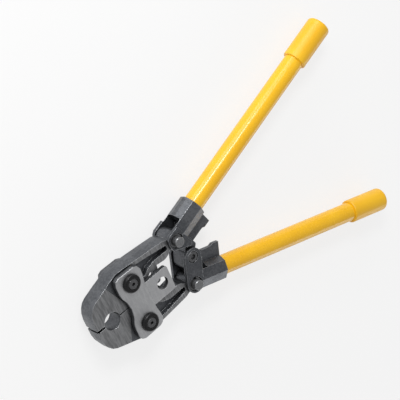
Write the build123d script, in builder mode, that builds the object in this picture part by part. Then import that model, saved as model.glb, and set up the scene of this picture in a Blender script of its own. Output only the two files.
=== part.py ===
from build123d import *
import math
import os

os.makedirs("parts", exist_ok=True)

# Main layout, in millimetres. X runs from the die to the grips, Z along the pivot pins.
bolt_x = 34.2
bolt_y = 26.5
fork_x = 102.4
fork_y = 29.6
handle_angle = 18.6
link_length = fork_y / math.cos(math.radians(handle_angle))
die_radius = 10.0

# Motion, in degrees. Positive opens the handles, the jaws follow by the ratio.
close_swing = 19.9
open_swing = 23.5
jaw_ratio = 0.0704
jaw_rest_angle = close_swing * jaw_ratio

# Thicknesses, as half widths from the middle plane
jaw_half = 10.0
die_flat_gap = 0.10
plate_gap = 0.3
plate_inner = jaw_half + plate_gap
plate_thickness = 5.8
plate_outer = plate_inner + plate_thickness
tab_step = 0.9
pin_face = 20.6
ear_inner = jaw_half + 0.4
ear_outer = 14.2

# Fits between pins and holes
running = 0.05
slot_clearance = 0.35

# Pins and screws
jaw_pin_radius = 6.0
jaw_head_radius = 10.0
jaw_head_round = 1.9
jaw_screw_head = 5.7
retaining_hole_radius = 7.0
retaining_hole_x = 67.0
fork_pin_radius = 5.7
centre_pin_radius = 4.5
screw_radius = 2.5

# Handles
tube_radius = 10.95
tube_wall = 2.0
grip_radius = 13.35
grip_start = 238.5
grip_end = 289.5
axis_drop = 0.9
socket_radius = 15.0
socket_flat = 13.8


def turned(x, y, cx, cy, degrees):
    """Turn one point about a centre."""
    a = math.radians(degrees)
    dx = x - cx
    dy = y - cy
    return (cx + dx * math.cos(a) - dy * math.sin(a), cy + dx * math.sin(a) + dy * math.cos(a))


def jaw_plane(side, height=0.0):
    """Plane through the middle of a jaw, with local Y pointing outward."""
    return Plane(origin=(0, 0, side * height), x_dir=(1, 0, 0), z_dir=(0, 0, side))


def handle_plane(side, height=0.0):
    """Plane through a fork pin, local X along the handle and local Y outward."""
    a = math.radians(handle_angle)
    return Plane(
        origin=(fork_x, side * fork_y, side * height),
        x_dir=(math.cos(a), side * math.sin(a), 0),
        z_dir=(0, 0, side),
    )


def across_handle(side, along):
    """Plane square to the handle tube, at a distance from the fork pin."""
    base = handle_plane(side)
    return Plane(
        origin=base.from_local_coords((along, -axis_drop, 0)),
        x_dir=base.y_dir,
        z_dir=base.x_dir,
    )


# Connecting plates
plate_edge = [
    (-12.0, 0.0),
    (-13.4, 10.0),
    (-16.5, 17.5),
    (-17.4, 24.0),
    (-17.4, 33.5),
    (-15.4, 38.6),
    (-11.0, 40.6),
    (9.5, 40.3),
    (14.2, 38.2),
    (16.5, 33.5),
    (16.2, 27.0),
    (14.6, 18.2),
]
tab_end = 44.8
tab_half = 15.0


def connecting_plate(side, label):
    """One T shaped plate with its rear tab."""
    bottom = plate_inner if side > 0 else -plate_outer
    with BuildPart() as plate:
        with BuildSketch(Plane.XY.offset(bottom)):
            with BuildLine():
                right = [(bolt_x + x, y) for x, y in plate_edge]
                left = [(x, -y) for x, y in reversed(right[1:])]
                Polyline(*right, *left, close=True)
            make_face()
            fillet(vertices().filter_by(lambda v: abs(v.Y) > 19), radius=2.6)
        extrude(amount=plate_thickness)
        tab_bottom = bottom if side > 0 else bottom + tab_step
        with BuildSketch(Plane.XY.offset(tab_bottom)):
            with Locations((bolt_x + (10 + tab_end) / 2, 0)):
                Rectangle(tab_end - 10, 2 * tab_half)
            fillet(vertices().filter_by(lambda v: v.X > 70), radius=3.0)
        extrude(amount=plate_thickness - tab_step)
        with BuildSketch(Plane.XY.offset(bottom)):
            with Locations((bolt_x, bolt_y), (bolt_x, -bolt_y)):
                Circle(jaw_pin_radius + running)
            with Locations((retaining_hole_x, 0)):
                Circle(retaining_hole_radius)
        extrude(amount=plate_thickness, mode=Mode.SUBTRACT)
        outer = plate.faces().sort_by(Axis.Z)[-1 if side > 0 else 0]
        chamfer(outer.outer_wire().edges(), length=0.5)
    plate.part.label = label
    return plate


front_plate = connecting_plate(1, "front_plate")
rear_plate = connecting_plate(-1, "rear_plate")

# Jaw outlines on the front face, the forging is 1.2 mm wider at the middle plane
draft_angle = 6.5
jaw_outer = [
    (-20.2, 2.0),
    (-20.1, 11.0),
    (-18.9, 18.0),
    (-16.6, 23.4),
    (-13.2, 27.8),
    (-8.4, 30.8),
    (5.0, 35.6),
    (18.0, 40.3),
    (25.0, 42.6),
    (33.3, 42.4),
    (52.8, 40.9),
    (73.0, 39.2),
    (88.5, 37.6),
    (99.0, 34.0),
]
eye_radius = 8.7
rib_inner = [
    (91.1, 22.1),
    (88.9, 19.6),
    (85.2, 18.2),
    (81.8, 17.7),
    (76.5, 18.5),
    (71.8, 19.2),
    (71.2, 14.6),
    (65.0, 14.2),
    (63.6, 16.7),
    (61.4, 17.2),
    (57.6, 14.6),
    (48.0, 11.5),
]
pocket_edge = [
    (47.0, 37.2),
    (47.0, 18.2),
    (55.0, 18.2),
    (60.5, 22.6),
    (70.0, 25.6),
    (90.8, 25.3),
    (90.8, 31.0),
    (67.0, 34.8),
]


def jaw(side, label):
    """A forged jaw lever: half die, pivot eye, pocketed arm, roller rail and fork eye."""
    centre = (bolt_x, bolt_y)
    inner_near = turned(27.0, die_flat_gap, *centre, -jaw_rest_angle)
    inner_tip = turned(-23.0, die_flat_gap, *centre, -jaw_rest_angle)
    with BuildPart() as lever:
        for half in (1, -1):
            with BuildSketch(jaw_plane(side)):
                with BuildLine():
                    Polyline(
                        (-20.2, inner_tip[1] + 0.2),
                        *jaw_outer,
                        (98.0, 24.6),
                        *rib_inner,
                        (30.0, 7.0),
                        inner_near,
                        close=True,
                    )
                make_face()
                with Locations((fork_x, fork_y)):
                    Circle(eye_radius + 0.6)
                offset(amount=0.6, kind=Kind.ARC)
            extrude(amount=half * jaw_half, taper=draft_angle / 2)
        # The parting face is square, so the draft is cut off there
        with BuildSketch(jaw_plane(side)):
            with BuildLine():
                Polyline(
                    turned(-40, die_flat_gap, *centre, -jaw_rest_angle),
                    turned(27.0, die_flat_gap, *centre, -jaw_rest_angle),
                    (31.0, 6.0),
                    (50.0, 13.8),
                    (50.0, -30.0),
                    (-40.0, -30.0),
                    close=True,
                )
            make_face()
        extrude(amount=jaw_half + 1, both=True, mode=Mode.SUBTRACT)
        # Pocket on both faces between the outer flange and the inner rib
        for half in (1, -1):
            with BuildSketch(jaw_plane(side).offset(half * jaw_half)):
                with BuildLine():
                    Polyline(*pocket_edge, close=True)
                make_face()
                fillet(vertices(), radius=2.0)
            extrude(amount=-half * 5.2, taper=8, mode=Mode.SUBTRACT)
        # Eyes, the die and the side relief of the head
        with BuildSketch(jaw_plane(side)):
            with Locations((bolt_x, bolt_y)):
                Circle(jaw_pin_radius + running)
            with Locations((fork_x, fork_y)):
                Circle(fork_pin_radius + running)
            Circle(die_radius)
        extrude(amount=jaw_half + 1, both=True, mode=Mode.SUBTRACT)
        # Faces right of the step line are set back a little for the plates
        for half in (1, -1):
            with BuildSketch(jaw_plane(side).offset(half * (jaw_half - 0.35))):
                with BuildLine():
                    Polyline((9.2, 50.0), (8.2, 37.0), (24.2, 2.0), (24.2, 0.0), (44.0, 0.0), (44.0, 50.0), close=True)
                make_face()
            extrude(amount=half * 2, mode=Mode.SUBTRACT)
    lever.part.label = label
    return lever


lower_jaw = jaw(-1, "lower_jaw")

# The upper jaw is the same forging turned over
with BuildPart() as upper_jaw:
    add(lower_jaw.part, rotation=(180, 0, 0))
upper_jaw.part.label = "upper_jaw"


# Pivot pins of the jaws: headed sleeve, rear cap and a screw along the middle
def radial_plane(x, y):
    """Plane whose local axes are the radius and the height of a turned piece."""
    return Plane(origin=(x, y, 0), x_dir=(1, 0, 0), z_dir=(0, -1, 0))


def jaw_pin(side, label):
    """Headed hollow pin with a counterbored front face."""
    x = bolt_x
    y = side * bolt_y
    with BuildPart() as pin:
        with BuildSketch(radial_plane(x, y)):
            with BuildLine():
                Polyline(
                    (screw_radius + 0.3, -12.0),
                    (jaw_pin_radius - 0.4, -12.0),
                    (jaw_pin_radius, -11.6),
                    (jaw_pin_radius, plate_outer),
                    (jaw_head_radius, plate_outer),
                    (jaw_head_radius, pin_face),
                    (jaw_screw_head + 0.2, pin_face),
                    (jaw_screw_head + 0.2, pin_face - 3.2),
                    (screw_radius + 0.3, pin_face - 3.2),
                    close=True,
                )
            make_face()
            fillet(vertices().sort_by_distance((jaw_head_radius, pin_face))[0], radius=jaw_head_round)
        revolve(axis=Axis((x, y, 0), (0, 0, 1)))
    pin.part.label = label
    return pin


upper_jaw_pin = jaw_pin(1, "upper_jaw_pin")
lower_jaw_pin = jaw_pin(-1, "lower_jaw_pin")

with BuildPart() as jaw_pin_caps:
    for side in (1, -1):
        with BuildSketch(radial_plane(bolt_x, side * bolt_y)):
            with BuildLine():
                Polyline(
                    (screw_radius, -12.1),
                    (jaw_pin_radius - 0.3, -12.1),
                    (jaw_pin_radius - 0.3, -plate_outer),
                    (jaw_head_radius, -plate_outer),
                    (jaw_head_radius, -pin_face),
                    (screw_radius, -pin_face),
                    close=True,
                )
            make_face()
            fillet(vertices().sort_by_distance((jaw_head_radius, -pin_face))[0], radius=jaw_head_round)
        revolve(axis=Axis((bolt_x, side * bolt_y, 0), (0, 0, 1)))
jaw_pin_caps.part.label = "jaw_pin_caps"

with BuildPart() as jaw_pin_screws:
    for side in (1, -1):
        with BuildSketch(radial_plane(bolt_x, side * bolt_y)):
            with BuildLine():
                Polyline(
                    (0, 1.5 - pin_face),
                    (screw_radius - 0.4, 1.5 - pin_face),
                    (screw_radius - running, 2.0 - pin_face),
                    (screw_radius - running, pin_face - 3.1),
                    (jaw_screw_head, pin_face - 3.1),
                    (jaw_screw_head, pin_face - 0.5),
                    (jaw_screw_head - 0.4, pin_face - 0.1),
                    (0, pin_face - 0.1),
                    close=True,
                )
            make_face()
        revolve(axis=Axis((bolt_x, side * bolt_y, 0), (0, 0, 1)))
    with BuildSketch(Plane.XY.offset(pin_face - 0.1)):
        with Locations((bolt_x, bolt_y), (bolt_x, -bolt_y)):
            RegularPolygon(radius=2.1, side_count=6)
    extrude(amount=-1.9, mode=Mode.SUBTRACT)
jaw_pin_screws.part.label = "jaw_pin_screws"

# Handle heads: octagonal socket, fork with two ears, link ears or tongue, stop web
slot_end = 20.4
socket_start = 8.6
socket_end = 44.5
web_half = 2.0
web_end = 44.0
web_bottom = -28.6
lug_start = 35.8
lug_bottom = -31.0
tongue_half = 9.8
ear_edge = [
    (11.4, 10.3),
    (-2.4, 10.6),
    (-6.6, 8.4),
    (-9.4, 2.6),
    (-9.9, -5.2),
    (-3.0, -10.6),
    (8.4, -20.8),
    (11.4, -17.4),
]


def pin_path():
    """Where the centre pin travels in the upper head, in that head's own axes."""
    points = []
    for step in range(13):
        q = -close_swing + step * (close_swing + open_swing) / 12
        jaw_turn = -jaw_ratio * q
        px, py = turned(fork_x, fork_y, bolt_x, bolt_y, jaw_turn)
        heading = math.radians(handle_angle + q + jaw_turn)
        # The lower head is the mirror image, so its pin lies at the mirrored place
        cx = px + link_length * math.sin(heading)
        cy = py - link_length * math.cos(heading)
        dx = cx - px
        dy = -cy - py
        points.append(
            (dx * math.cos(heading) + dy * math.sin(heading), -dx * math.sin(heading) + dy * math.cos(heading))
        )
    return points


def head(side, label):
    """One handle head, drawn in the axes of its own handle."""
    with BuildPart() as casting:
        # Octagonal socket body, flattened on its outer and inner corners
        with BuildSketch(across_handle(side, socket_start)):
            RegularPolygon(radius=socket_radius, side_count=8)
            Rectangle(2 * socket_flat, 3 * socket_radius, mode=Mode.INTERSECT)
        extrude(amount=socket_end - socket_start)
        socket_face = casting.faces().sort_by(Axis(handle_plane(side).origin, handle_plane(side).x_dir))[-1]
        chamfer(socket_face.edges(), length=0.8)
        # Middle web with the stop lug
        with BuildSketch(handle_plane(side)):
            with BuildLine():
                Polyline(
                    (12.0, -8.0),
                    (web_end, -8.0),
                    (web_end, lug_bottom),
                    (lug_start, lug_bottom),
                    (lug_start - 3.0, web_bottom - 0.2),
                    (lug_start - 6.0, web_bottom),
                    (12.0, web_bottom),
                    close=True,
                )
            make_face()
        extrude(amount=web_half, both=True)
        if side > 0:
            # Fork ears
            with BuildSketch(handle_plane(side)):
                with BuildLine():
                    Polyline(*ear_edge, close=True)
                make_face()
                fillet(vertices(), radius=1.6)
            extrude(amount=ear_outer, both=True)
            # Tongue around the centre pin
            with BuildSketch(handle_plane(side)):
                with BuildLine():
                    Polyline(
                        (14.0, -8.0),
                        (14.0, -27.0),
                        (11.0, -29.4),
                        (0.0, -31.0),
                        (-3.0, -24.0),
                        (9.4, -12.0),
                        close=True,
                    )
                make_face()
            extrude(amount=tongue_half, both=True)
            path = pin_path()
            with BuildSketch(handle_plane(side)):
                with Locations(path[0], path[3], path[6], path[9], path[-1]):
                    Circle(8.6)
                make_hull()
            extrude(amount=tongue_half, both=True)
            with BuildSketch(handle_plane(side)):
                with Locations(*path):
                    Circle(centre_pin_radius + slot_clearance)
                make_hull()
            extrude(amount=tongue_half + 2, both=True, mode=Mode.SUBTRACT)
        else:
            # Link ears from the fork pin to the centre pin
            with BuildSketch(handle_plane(side)):
                with Locations((0.2, 0)):
                    Circle(10.4)
                with Locations((0, 0.8 - link_length)):
                    Circle(10.8)
                make_hull()
            extrude(amount=ear_outer, both=True)
        # Slot of the fork, open to the jaw
        with BuildSketch(handle_plane(side)):
            with BuildLine():
                if side > 0:
                    Polyline(
                        (-14.0, 20.0),
                        (slot_end, 20.0),
                        (slot_end, -3.0),
                        (9.6, -10.2),
                        (-3.6, -10.6),
                        (-14.0, -10.6),
                        close=True,
                    )
                else:
                    Polyline(
                        (-14.0, 20.0),
                        (slot_end, 20.0),
                        (slot_end, -25.0),
                        (slot_end, -50.0),
                        (-14.0, -50.0),
                        close=True,
                    )
            make_face()
        extrude(amount=ear_inner, both=True, mode=Mode.SUBTRACT)
        # Pin holes, their recesses and the tube bore
        with BuildSketch(handle_plane(side)):
            Circle(fork_pin_radius + running)
            if side < 0:
                with Locations((0, -link_length)):
                    Circle(centre_pin_radius + running)
        extrude(amount=20, both=True, mode=Mode.SUBTRACT)
        for half in (1, -1):
            with BuildSketch(handle_plane(side).offset(half * (ear_outer - 2.4))):
                Circle(8.3)
                if side < 0:
                    with Locations((0, -link_length)):
                        Circle(6.6)
            extrude(amount=half * 6, mode=Mode.SUBTRACT)
        with BuildSketch(across_handle(side, slot_end + 4.0)):
            Circle(tube_radius + 0.02)
        extrude(amount=60, mode=Mode.SUBTRACT)
    casting.part.label = label
    return casting


upper_head = head(1, "upper_head")
lower_head = head(-1, "lower_head")


# Handle tubes, their plugs and the grips
def tube(side, label):
    """Drawn steel tube pressed into its socket."""
    with BuildPart() as pipe:
        with BuildSketch(across_handle(side, slot_end + 4.2)):
            Circle(tube_radius)
            Circle(tube_radius - tube_wall, mode=Mode.SUBTRACT)
        extrude(amount=grip_end - 6.0 - slot_end - 4.2)
    pipe.part.label = label
    return pipe


def tube_plug(side, label):
    """Plastic plug in the outer end of a tube."""
    with BuildPart() as plug:
        with BuildSketch(across_handle(side, grip_end - 26.0)):
            Circle(tube_radius - tube_wall - 0.02)
        extrude(amount=20.0)
        with BuildSketch(across_handle(side, grip_end - 6.0)):
            Circle(tube_radius - 0.4)
        extrude(amount=1.8)
    plug.part.label = label
    return plug


def grip(side, label):
    """Soft sleeve with a rounded lip and a closed, rounded end."""
    base = handle_plane(side)
    with BuildPart() as sleeve:
        with BuildSketch(across_handle(side, grip_start)):
            Circle(grip_radius)
        extrude(amount=grip_end - grip_start)
        ends = sleeve.edges().sort_by(Axis(base.origin, base.x_dir))
        fillet(ends[-1], radius=3.2)
        fillet(ends[0], radius=1.3)
        with BuildSketch(across_handle(side, grip_start)):
            Circle(tube_radius + 0.02)
        extrude(amount=grip_end - 4.0 - grip_start, mode=Mode.SUBTRACT)
    sleeve.part.label = label
    return sleeve


upper_tube = tube(1, "upper_tube")
lower_tube = tube(-1, "lower_tube")
upper_tube_plug = tube_plug(1, "upper_tube_plug")
lower_tube_plug = tube_plug(-1, "lower_tube_plug")
upper_grip = grip(1, "upper_grip")
lower_grip = grip(-1, "lower_grip")


# Fork pins with a ring groove behind each end
ring_low = ear_outer - 2.3
ring_thickness = 1.2


def fork_pin(side, label):
    """Plain hardened pin with two ring grooves."""
    x = fork_x
    y = side * fork_y
    inner = fork_pin_radius - 0.8
    with BuildPart() as pin:
        with BuildSketch(radial_plane(x, y)):
            with BuildLine():
                Polyline(
                    (0, -pin_face),
                    (fork_pin_radius - 0.7, -pin_face),
                    (fork_pin_radius, 0.7 - pin_face),
                    (fork_pin_radius, -ring_low - ring_thickness),
                    (inner, -ring_low - ring_thickness),
                    (inner, -ring_low),
                    (fork_pin_radius, -ring_low),
                    (fork_pin_radius, ring_low),
                    (inner, ring_low),
                    (inner, ring_low + ring_thickness),
                    (fork_pin_radius, ring_low + ring_thickness),
                    (fork_pin_radius, pin_face - 0.7),
                    (fork_pin_radius - 0.7, pin_face),
                    (0, pin_face),
                    close=True,
                )
            make_face()
        revolve(axis=Axis((x, y, 0), (0, 0, 1)))
    pin.part.label = label
    return pin


def pin_rings(side, label):
    """Two open retaining rings in the recesses of a fork."""
    a = math.radians(handle_angle)
    with BuildPart() as rings:
        for low in (ring_low, -ring_low - ring_thickness):
            with BuildSketch(Plane.XY.offset(low)):
                with Locations((fork_x, side * fork_y)):
                    Circle(7.6)
                    Circle(fork_pin_radius - 0.75, mode=Mode.SUBTRACT)
                with Locations(Location((fork_x, side * fork_y, 0), (0, 0, side * (handle_angle - 90)))):
                    with Locations((7.0, 0)):
                        Rectangle(14.0, 3.4, mode=Mode.SUBTRACT)
            extrude(amount=ring_thickness)
    rings.part.label = label
    return rings


upper_fork_pin = fork_pin(1, "upper_fork_pin")
lower_fork_pin = fork_pin(-1, "lower_fork_pin")
upper_pin_rings = pin_rings(1, "upper_pin_rings")
lower_pin_rings = pin_rings(-1, "lower_pin_rings")

# Centre pin: headed sleeve from behind, held by a socket screw in front
centre_x = fork_x + link_length * math.sin(math.radians(handle_angle))
recess_floor = ear_outer - 2.4
sleeve_front = recess_floor - 0.3
with BuildPart() as centre_pin:
    with BuildSketch(radial_plane(centre_x, 0)):
        with BuildLine():
            Polyline(
                (2.0, sleeve_front),
                (centre_pin_radius - 0.3, sleeve_front),
                (centre_pin_radius, sleeve_front - 0.3),
                (centre_pin_radius, -recess_floor),
                (6.2, -recess_floor),
                (6.2, 0.5 - ear_outer),
                (5.7, -ear_outer),
                (0, -ear_outer),
                (0, -6.0),
                (2.0, -6.0),
                close=True,
            )
        make_face()
    revolve(axis=Axis((centre_x, 0, 0), (0, 0, 1)))
centre_pin.part.label = "centre_pin"

with BuildPart() as centre_screw:
    with BuildSketch(radial_plane(centre_x, 0)):
        with BuildLine():
            Polyline(
                (0, -3.0),
                (1.6, -3.0),
                (2.0 - running, -2.6),
                (2.0 - running, recess_floor),
                (6.2, recess_floor),
                (6.2, ear_outer - 0.6),
                (5.7, ear_outer - 0.1),
                (0, ear_outer - 0.1),
                close=True,
            )
        make_face()
    revolve(axis=Axis((centre_x, 0, 0), (0, 0, 1)))
    with BuildSketch(Plane.XY.offset(ear_outer - 0.1)):
        with Locations((centre_x, 0)):
            RegularPolygon(radius=3.4, side_count=6)
    extrude(amount=-1.9, mode=Mode.SUBTRACT)
centre_screw.part.label = "centre_screw"

for piece in (
    front_plate,
    rear_plate,
    upper_jaw,
    lower_jaw,
    upper_jaw_pin,
    lower_jaw_pin,
    jaw_pin_caps,
    jaw_pin_screws,
    upper_head,
    lower_head,
    upper_tube,
    lower_tube,
    upper_tube_plug,
    lower_tube_plug,
    upper_grip,
    lower_grip,
    upper_fork_pin,
    lower_fork_pin,
    upper_pin_rings,
    lower_pin_rings,
    centre_pin,
    centre_screw,
):
    export_step(piece.part, f"parts/{piece.part.label}.step")
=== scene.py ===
import math

import bmesh
import bpy
from mathutils import Matrix, Vector


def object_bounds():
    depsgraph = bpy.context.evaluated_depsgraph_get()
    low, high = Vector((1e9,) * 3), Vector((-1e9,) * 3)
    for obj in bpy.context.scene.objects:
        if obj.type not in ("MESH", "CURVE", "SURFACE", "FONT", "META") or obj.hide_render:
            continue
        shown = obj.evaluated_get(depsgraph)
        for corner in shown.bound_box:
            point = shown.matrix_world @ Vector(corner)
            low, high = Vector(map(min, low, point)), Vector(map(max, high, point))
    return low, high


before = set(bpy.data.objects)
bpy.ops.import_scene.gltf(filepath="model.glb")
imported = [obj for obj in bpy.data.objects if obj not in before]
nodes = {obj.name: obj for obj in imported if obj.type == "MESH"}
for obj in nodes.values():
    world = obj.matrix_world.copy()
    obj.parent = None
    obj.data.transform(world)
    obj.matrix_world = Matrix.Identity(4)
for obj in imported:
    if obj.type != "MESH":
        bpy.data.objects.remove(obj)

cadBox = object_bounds()
print("frame loaded:", len(nodes), "nodes")


# ---- the view of the photograph ----

view = {
    "place": (-0.46569, 0.83650, 1.13886),   # where the camera stands, metres
    "right": (0.706969, -0.338125, 0.620749),   # the picture's right-hand direction
    "up": (0.578106, 0.782329, -0.231491),
    "back": (-0.408078, 0.522800, 0.748121),
    "lens": 129.616,
    "sensor": 36.0,
}

def makeCamera():
    data = bpy.data.cameras.new("photoCamera")
    data.sensor_fit = "HORIZONTAL"
    data.sensor_width = view["sensor"]
    data.lens = view["lens"]
    data.clip_start = 0.05
    data.clip_end = 20.0
    camera = bpy.data.objects.new("photoCamera", data)
    bpy.context.scene.collection.objects.link(camera)
    turn = Matrix((view["right"], view["up"], view["back"])).transposed()
    camera.matrix_world = Matrix.Translation(view["place"]) @ turn.to_4x4()
    bpy.context.scene.camera = camera

makeCamera()
bpy.context.scene.view_settings.view_transform = "Standard"
print("camera placed")


# ---- writing materials as plain sums ----

class Wire:   # one output socket, with arithmetic that adds Math nodes
    def __init__(self, finish, socket):
        self.finish = finish
        self.socket = socket

    def sum(self, operation, first, second):
        return self.finish.node("ShaderNodeMath", {"operation": operation}, {0: first, 1: second})

    def __add__(self, other):
        return self.sum("ADD", self, other)

    def __radd__(self, other):
        return self.sum("ADD", other, self)

    def __sub__(self, other):
        return self.sum("SUBTRACT", self, other)

    def __rsub__(self, other):
        return self.sum("SUBTRACT", other, self)

    def __mul__(self, other):
        return self.sum("MULTIPLY", self, other)

    def __rmul__(self, other):
        return self.sum("MULTIPLY", other, self)

    def __gt__(self, other):
        return self.sum("GREATER_THAN", self, other)

    def __abs__(self):
        return self.finish.node("ShaderNodeMath", {"operation": "ABSOLUTE"}, {0: self})


class Finish:   # one material under construction
    def __init__(self, name):
        self.material = bpy.data.materials.new(name)
        self.material.use_nodes = True
        self.tree = self.material.node_tree
        self.tree.nodes.clear()

    def node(self, kind, settings=None, values=None, out=0):
        made = self.tree.nodes.new(kind)
        for key, setting in (settings or {}).items():
            if key == "stops":
                for number, (place, colour) in enumerate(setting):
                    stop = made.color_ramp.elements[number] if number < 2 else made.color_ramp.elements.new(place)
                    stop.position = place
                    stop.color = colour
            else:
                setattr(made, key, setting)
        for key, value in (values or {}).items():
            if isinstance(value, Wire):
                self.tree.links.new(value.socket, made.inputs[key])
            else:
                made.inputs[key].default_value = value
        return Wire(self, made.outputs[out])

    def place(self):
        return self.node("ShaderNodeTexCoord", out="Object")

    def stretched(self, scale, turn=(0.0, 0.0, 0.0)):
        return self.node("ShaderNodeMapping", None, {"Vector": self.place(), "Scale": scale, "Rotation": turn})

    def noise(self, scale, detail=4.0, roughness=0.6, vector=None):
        return self.node("ShaderNodeTexNoise", None,
                         {"Vector": vector or self.place(), "Scale": scale, "Detail": detail, "Roughness": roughness})

    def ramp(self, value, low, high, lowTo=0.0, highTo=1.0):
        return self.node("ShaderNodeMapRange", {"clamp": True, "interpolation_type": "SMOOTHSTEP"},
                         {"Value": value, "From Min": low, "From Max": high, "To Min": lowTo, "To Max": highTo})

    def mixed(self, mask, first, second):
        first = first if isinstance(first, Wire) else (*first, 1.0)
        second = second if isinstance(second, Wire) else (*second, 1.0)
        return self.node("ShaderNodeMix", {"data_type": "RGBA"}, {0: mask, 6: first, 7: second}, out=2)

    def rounded(self, radius):   # the shading normal of a broken edge
        return self.node("ShaderNodeBevel", {"samples": 6}, {"Radius": radius})

    def wearAndHighlightEdges(self, radius, low, high):   # 1 along edges, 0 on flats; carries real edge wear and a painted highlight along edges
        flat = self.node("ShaderNodeNewGeometry", out="True Normal")
        match = self.node("ShaderNodeVectorMath", {"operation": "DOT_PRODUCT"},
                          {0: self.rounded(radius), 1: flat}, out="Value")
        return self.ramp(1.0 - match, low, high)

    def recessShadeMask(self, distance, low=0.25, high=0.85):   # mask for painted shade: 1 in the open, 0 deep in a recess
        open_ = self.node("ShaderNodeAmbientOcclusion", {"samples": 6}, {"Distance": distance}, out="AO")
        return self.ramp(open_, low, high)

    def facing(self, low=0.94, high=0.99):   # 1 on faces square to Z
        normal = self.node("ShaderNodeNewGeometry", out="True Normal")
        upright = self.node("ShaderNodeSeparateXYZ", None, {"Vector": normal}, out="Z")
        return self.ramp(abs(upright), low, high)

    def height(self):   # distance from the middle plane, metres
        return abs(self.node("ShaderNodeSeparateXYZ", None, {"Vector": self.place()}, out="Z"))

    def bump(self, height, distance, strength=1.0, normal=None):
        values = {"Height": height, "Distance": distance, "Strength": strength}
        if normal:
            values["Normal"] = normal
        return self.node("ShaderNodeBump", None, values, out="Normal")

    def output(self, shader):
        end = self.tree.nodes.new("ShaderNodeOutputMaterial")
        self.tree.links.new(shader.socket, end.inputs["Surface"])
        return self.material

    def surface(self, values):
        return self.output(self.node("ShaderNodeBsdfPrincipled", None, values, out="BSDF"))


def shade(colour, share):
    return tuple(c * share for c in colour)


# ---- finishes ----

forging = {
    "skin": (0.088, 0.093, 0.102),
    "skinPale": (0.150, 0.156, 0.168),
    # edge: real edge wear plus a painted highlight along edges
    "edge": (0.55, 0.56, 0.58),
    "ground": (0.36, 0.365, 0.375),
    "metallic": 0.80,
    "roughness": 0.30,
}

def forgedSteel(name, groundFrom=None):
    f = Finish(name)
    cast = f.noise(1100.0, 5.0, 0.65)
    pits = f.noise(420.0, 3.0, 0.6)
    cloud = f.noise(45.0, 3.0, 0.5)
    colour = f.mixed(f.ramp(cloud * 0.5 + pits * 0.5, 0.38, 0.62), forging["skin"], forging["skinPale"])
    # pale patchy edges: real edge wear plus a painted highlight along edges
    edge = f.wearAndHighlightEdges(0.0007, 0.012, 0.10) * f.ramp(f.noise(160.0, 3.0, 0.6), 0.28, 0.60, 0.45, 1.0)
    relief = cast * 0.6 + pits * 0.4
    rough = f.ramp(cast, 0.3, 0.7, forging["roughness"], forging["roughness"] + 0.14)
    if groundFrom:
        brushed = f.noise(520.0, 4.0, 0.7, f.stretched((1.0, 0.10, 1.0), (0.0, 0.0, 0.45)))
        flat = f.facing() * (f.height() > groundFrom)
        groundColour = f.mixed(f.ramp(brushed, 0.34, 0.66), shade(forging["ground"], 0.55), forging["ground"])
        colour = f.mixed(flat, colour, groundColour)
        relief = relief * (1.0 - flat * 0.85)
    colour = f.mixed(edge * 0.85, colour, forging["edge"])
    # painted shade: recesses darkened to near black
    colour = f.mixed(f.recessShadeMask(0.007), shade(forging["skin"], 0.12), colour)
    return f.surface({
        "Base Color": colour,
        "Metallic": forging["metallic"],
        "Roughness": rough,
        "Normal": f.bump(relief, 0.00022, 0.5, f.rounded(0.0007)),
    })


plate = {
    "light": (0.60, 0.605, 0.615),
    "dark": (0.46, 0.465, 0.48),
    "side": (0.12, 0.124, 0.132),
    # edge: real edge wear plus a painted highlight along edges
    "edge": (0.80, 0.81, 0.82),
}

def plateSteel(name):
    f = Finish(name)
    grain = f.noise(1700.0, 4.0, 0.7)
    drawn = f.noise(300.0, 4.0, 0.65, f.stretched((1.0, 0.25, 1.0)))
    colour = f.mixed(f.ramp(drawn * 0.4 + grain * 0.6, 0.36, 0.64), plate["dark"], plate["light"])
    colour = f.mixed(f.facing(0.5, 0.9), plate["side"], colour)
    # pale edges: real edge wear plus a painted highlight along edges
    edge = f.wearAndHighlightEdges(0.0005, 0.012, 0.10) * f.ramp(f.noise(150.0), 0.3, 0.6, 0.3, 0.9)
    colour = f.mixed(edge, colour, plate["edge"])
    # painted shade: recesses and the step at the tab darkened
    colour = f.mixed(f.recessShadeMask(0.003, 0.3, 0.8), shade(plate["side"], 0.3), colour)
    return f.surface({
        "Base Color": colour,
        "Metallic": 0.85,
        "Roughness": f.ramp(grain, 0.3, 0.7, 0.36, 0.48),
        "Normal": f.bump(grain, 0.00010, 0.4, f.rounded(0.0005)),
    })


# edge: real edge wear plus a painted highlight along edges
blackened = {"skin": (0.012, 0.012, 0.013), "disc": (0.085, 0.086, 0.090), "edge": (0.24, 0.24, 0.25)}

def blackSteel(name, skin):
    f = Finish(name)
    grain = f.noise(1200.0)
    colour = f.mixed(f.ramp(grain, 0.35, 0.65), skin, shade(skin, 1.6))
    # pale edges: real edge wear plus a painted highlight along edges
    colour = f.mixed(f.wearAndHighlightEdges(0.0003, 0.02, 0.12) * 0.5, colour, blackened["edge"])
    # painted shade: recesses darkened
    colour = f.mixed(f.recessShadeMask(0.003, 0.35, 0.9), shade(skin, 0.15), colour)
    return f.surface({
        "Base Color": colour,
        "Metallic": 0.5,
        "Roughness": f.ramp(grain, 0.3, 0.7, 0.24, 0.34),
        "Normal": f.bump(grain, 0.0001, 0.25, f.rounded(0.0003)),
    })


# edge: real edge wear plus a painted highlight along edges
pin = {"light": (0.30, 0.305, 0.315), "dark": (0.19, 0.193, 0.20), "edge": (0.70, 0.71, 0.72)}

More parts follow.
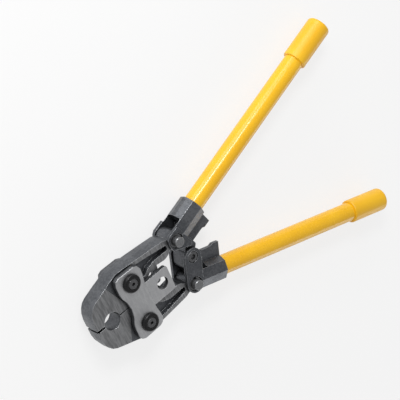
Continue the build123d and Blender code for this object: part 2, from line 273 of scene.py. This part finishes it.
def pinSteel(name):
    f = Finish(name)
    grain = f.noise(1000.0)
    colour = f.mixed(f.ramp(grain, 0.32, 0.68), pin["dark"], pin["light"])
    # pale edges: real edge wear plus a painted highlight along edges
    colour = f.mixed(f.wearAndHighlightEdges(0.0004, 0.012, 0.10) * 0.9, colour, pin["edge"])
    # painted shade: recesses darkened
    colour = f.mixed(f.recessShadeMask(0.004, 0.3, 0.8), shade(pin["dark"], 0.15), colour)
    return f.surface({
        "Base Color": colour,
        "Metallic": 0.8,
        "Roughness": f.ramp(grain, 0.3, 0.7, 0.30, 0.44),
        "Normal": f.bump(grain, 0.0001, 0.35, f.rounded(0.0004)),
    })


lacquer = {"colour": (0.94, 0.53, 0.012), "deep": (0.90, 0.485, 0.008), "scuff": (0.70, 0.38, 0.03)}

def yellowLacquer(name, gloss, peel):
    f = Finish(name)
    cloud = f.noise(22.0, 2.0, 0.5)
    orangePeel = f.noise(330.0, 2.0, 0.5)
    scuff = f.ramp(f.noise(260.0, 5.0, 0.75, f.stretched((0.35, 1.0, 1.0))), 0.68, 0.76)
    colour = f.mixed(f.ramp(cloud, 0.35, 0.7), lacquer["deep"], lacquer["colour"])
    colour = f.mixed(scuff * 0.12, colour, lacquer["scuff"])
    return f.surface({
        "Base Color": colour,
        "Roughness": f.ramp(orangePeel, 0.3, 0.7, gloss, gloss + 0.06),
        "Coat Weight": 0.2,
        "Coat Roughness": 0.10,
        "Normal": f.bump(orangePeel, 0.00006, peel),
    })


plastic = {"skin": (0.030, 0.030, 0.032)}

def plugPlastic(name):
    f = Finish(name)
    grain = f.noise(900.0)
    colour = f.mixed(f.ramp(grain, 0.3, 0.7), plastic["skin"], shade(plastic["skin"], 1.5))
    return f.surface({
        "Base Color": colour,
        "Roughness": f.ramp(grain, 0.3, 0.7, 0.45, 0.6),
        "Normal": f.bump(grain, 0.00015, 0.4),
    })


def dress(nodeNames, material):
    for nodeName in nodeNames:
        mesh = nodes[nodeName].data
        mesh.materials.clear()
        mesh.materials.append(material)

dress(["front_plate", "rear_plate"], plateSteel("plateSteel"))
dress(["upper_jaw", "lower_jaw"], forgedSteel("jawSteel", groundFrom=0.0098))
dress(["upper_head", "lower_head"], forgedSteel("headSteel"))
dress(["upper_jaw_pin", "lower_jaw_pin", "jaw_pin_caps"], blackSteel("blackSteel", blackened["skin"]))
dress(["jaw_pin_screws", "centre_screw"], blackSteel("screwSteel", blackened["disc"]))
dress(["upper_fork_pin", "lower_fork_pin", "centre_pin", "upper_pin_rings", "lower_pin_rings"], pinSteel("pinSteel"))
dress(["upper_tube", "lower_tube"], yellowLacquer("yellowLacquer", 0.22, 0.10))
dress(["upper_grip", "lower_grip"], yellowLacquer("yellowGrip", 0.36, 0.30))
dress(["upper_tube_plug", "lower_tube_plug"], plugPlastic("plugPlastic"))
print("finishes made")


# ---- floor and light ----

studio = {
    "middle": (0.12, 0.0, 0.0),
    "floorSize": 6.0,
    "floorColour": (0.92, 0.92, 0.92),
    "floorGlow": 0.75,   # how much of the floor is plain white in the picture and in reflections
    "sky": 0.50,
    "key": {"place": (0.07, 1.0, 0.73), "size": (0.45, 0.22), "power": 6.0},
    "farPanel": {"place": (0.15, 1.5, 0.30), "size": (2.4, 0.60), "power": 13.0},
    "nearPanel": {"place": (0.60, -1.5, 0.35), "size": (2.4, 0.60), "power": 7.0},
}

def seenDirectly(tree):   # 1 for the camera, for mirror-like and for see-through rays
    path = tree.nodes.new("ShaderNodeLightPath")
    total = path.outputs["Is Camera Ray"]
    for name in ("Is Glossy Ray", "Is Transmission Ray"):
        most = tree.nodes.new("ShaderNodeMath")
        most.operation = "MAXIMUM"
        tree.links.new(total, most.inputs[0])
        tree.links.new(path.outputs[name], most.inputs[1])
        total = most.outputs[0]
    return total

def makeFloor():
    low = cadBox[0][2]
    mesh = bpy.data.meshes.new("floor")
    shape = bmesh.new()
    bmesh.ops.create_grid(shape, x_segments=1, y_segments=1, size=studio["floorSize"] / 2)
    bmesh.ops.translate(shape, verts=shape.verts, vec=(0.0, 0.0, low))
    shape.to_mesh(mesh)
    shape.free()
    floor = bpy.data.objects.new("floor", mesh)
    bpy.context.scene.collection.objects.link(floor)
    f = Finish("floorPaper")
    paper = f.node("ShaderNodeBsdfDiffuse", None, {"Color": (*studio["floorColour"], 1.0)}, out="BSDF")
    white = f.node("ShaderNodeEmission", None, {"Color": (1.0, 1.0, 1.0, 1.0), "Strength": 1.0}, out="Emission")
    share = Wire(f, seenDirectly(f.tree)) * studio["floorGlow"]
    mesh.materials.append(f.output(f.node("ShaderNodeMixShader", None, {0: share, 1: paper, 2: white})))

def makeLamp(name, lampOf):
    data = bpy.data.lights.new(name, "AREA")
    data.shape = "RECTANGLE"
    data.size, data.size_y = lampOf["size"]
    data.energy = lampOf["power"]
    lamp = bpy.data.objects.new(name, data)
    bpy.context.scene.collection.objects.link(lamp)
    aim = (Vector(studio["middle"]) - Vector(lampOf["place"])).to_track_quat("-Z", "Y")
    lamp.matrix_world = Matrix.Translation(lampOf["place"]) @ aim.to_matrix().to_4x4()

def makeWorld():
    world = bpy.data.worlds.new("studio")
    world.use_nodes = True
    tree = world.node_tree
    tree.nodes.clear()
    sky = tree.nodes.new("ShaderNodeBackground")
    sky.inputs["Strength"].default_value = studio["sky"]
    output = tree.nodes.new("ShaderNodeOutputWorld")
    tree.links.new(sky.outputs[0], output.inputs["Surface"])
    bpy.context.scene.world = world

makeFloor()
makeWorld()
for lampName in ("key", "farPanel", "nearPanel"):
    makeLamp(lampName, studio[lampName])
print("floor and lamps placed")
